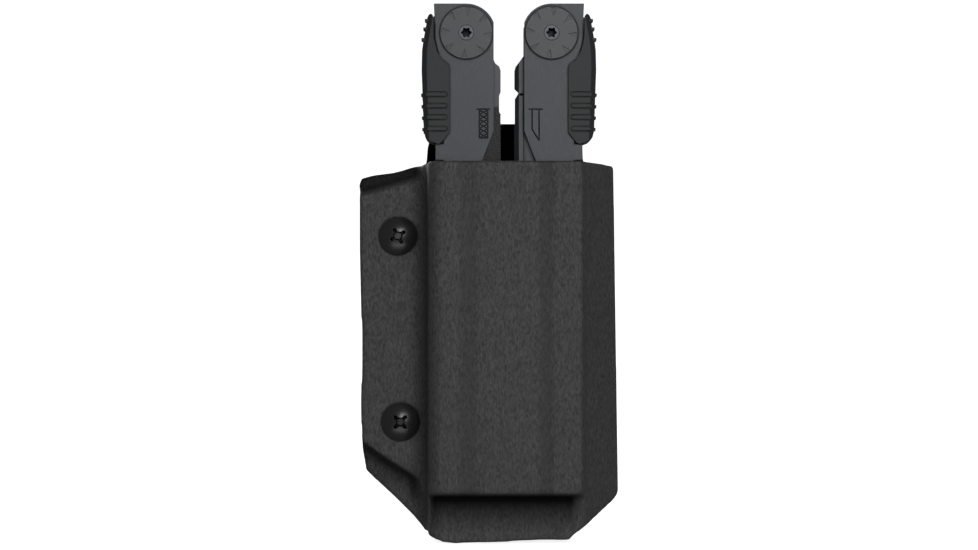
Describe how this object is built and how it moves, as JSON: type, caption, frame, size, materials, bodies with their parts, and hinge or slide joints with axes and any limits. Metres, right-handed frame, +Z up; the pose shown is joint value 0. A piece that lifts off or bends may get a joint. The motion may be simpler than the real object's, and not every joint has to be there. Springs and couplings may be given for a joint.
{
  "type": "sheathed multi tool",
  "caption": "Folding-plier multi tool standing closed in a moulded belt sheath with a raised, screwed flange and a belt clip behind.",
  "frame": {"origin": "middle of the foot of the bounding box, at the lower edge of the sheath", "axes": "+Z up along the closed tool, -Y to the front of the sheath, +X to the folded edge of the sheath"},
  "size_m": [0.0627, 0.031, 0.1276],
  "materials": {
    "sheath": "leather-grain black thermoplastic sheet",
    "clip": "fine-textured black nylon",
    "rubber": "matte black rubber",
    "screw_black": "satin black oxide",
    "handle_coat": "bead-blasted dark grey coating",
    "disc_coat": "satin dark grey coating",
    "grip": "charcoal glass-filled plastic",
    "blade_steel": "dark coated steel",
    "jaw_steel": "dark coated forged steel",
    "carbide": "ground carbide",
    "pivot_steel": "satin steel"
  },
  "bodies": {
    "sheath": {"sheath_shell": "sheath", "belt_clip": "clip", "upper_screw": "screw_black", "upper_post_nut": "screw_black", "upper_spacer": "rubber", "upper_rubber_washer": "rubber", "lower_screw": "screw_black", "lower_post_nut": "screw_black", "lower_spacer": "rubber", "lower_rubber_washer": "rubber"},
    "handles": {"file_blade": "blade_steel", "knife_blade": "blade_steel", "left_axle": "pivot_steel", "left_back_disc": "disc_coat", "left_front_disc": "disc_coat", "left_handle": "handle_coat", "left_liner": "blade_steel", "left_pivot_screw": "pivot_steel", "left_pivot_washers": "pivot_steel", "right_axle": "pivot_steel", "right_back_disc": "disc_coat", "right_front_disc": "disc_coat", "right_handle": "handle_coat", "right_liner": "blade_steel", "right_pivot_screw": "pivot_steel", "right_pivot_washers": "pivot_steel"},
    "pliers": {"left_jaw": "jaw_steel", "right_jaw": "jaw_steel", "jaw_pivot_pin": "jaw_steel", "left_cutter_insert": "carbide", "right_cutter_insert": "carbide", "left_thumb_slide": "grip", "right_thumb_slide": "grip", "left_arm_pin": "pivot_steel", "right_arm_pin": "pivot_steel"},
    "left_lock": {"left_lock_slide": "grip"},
    "right_lock": {"right_lock_slide": "grip"},
    "small_driver": {"small_driver": "blade_steel"},
    "large_driver": {"large_driver": "blade_steel"},
    "lanyard_ring": {"lanyard_ring": "blade_steel"},
    "can_opener": {"can_opener": "blade_steel"},
    "bottle_opener": {"bottle_opener": "blade_steel"},
    "phillips_driver": {"phillips_driver": "blade_steel"}
  },
  "joints": [
    {"name": "tool_draw", "type": "slide", "parent": "sheath", "child": "handles", "axis": [0, 0, 1], "range_m": [0, 0.12]},
    {"name": "pliers_extend", "type": "slide", "parent": "handles", "child": "pliers", "axis": [0, 0, -1], "range_m": [0, 0.041]},
    {"name": "left_lock_release", "type": "slide", "parent": "handles", "child": "left_lock", "axis": [0, 0, -1], "range_m": [0, 0.003], "stiffness_N_per_m": 400, "springref_m": -0.001},
    {"name": "right_lock_release", "type": "slide", "parent": "handles", "child": "right_lock", "axis": [0, 0, -1], "range_m": [0, 0.003], "stiffness_N_per_m": 400, "springref_m": -0.001},
    {"name": "small_driver_fold", "type": "hinge", "parent": "handles", "child": "small_driver", "pos_m": [-0.00535, -0.0061, 0.1207], "axis": [0, 1, 0], "range_deg": [0, 180]},
    {"name": "large_driver_fold", "type": "hinge", "parent": "handles", "child": "large_driver", "pos_m": [-0.00535, -0.0061, 0.1207], "axis": [0, 1, 0], "range_deg": [0, 180]},
    {"name": "lanyard_ring_fold", "type": "hinge", "parent": "handles", "child": "lanyard_ring", "pos_m": [-0.00535, -0.0061, 0.1207], "axis": [0, 1, 0], "range_deg": [0, 180]},
    {"name": "can_opener_fold", "type": "hinge", "parent": "handles", "child": "can_opener", "pos_m": [0.01475, -0.0061, 0.1207], "axis": [0, -1, 0], "range_deg": [0, 180]},
    {"name": "bottle_opener_fold", "type": "hinge", "parent": "handles", "child": "bottle_opener", "pos_m": [0.01475, -0.0061, 0.1207], "axis": [0, -1, 0], "range_deg": [0, 180]},
    {"name": "phillips_driver_fold", "type": "hinge", "parent": "handles", "child": "phillips_driver", "pos_m": [0.01475, -0.0061, 0.1207], "axis": [0, -1, 0], "range_deg": [0, 180]}
  ]
}
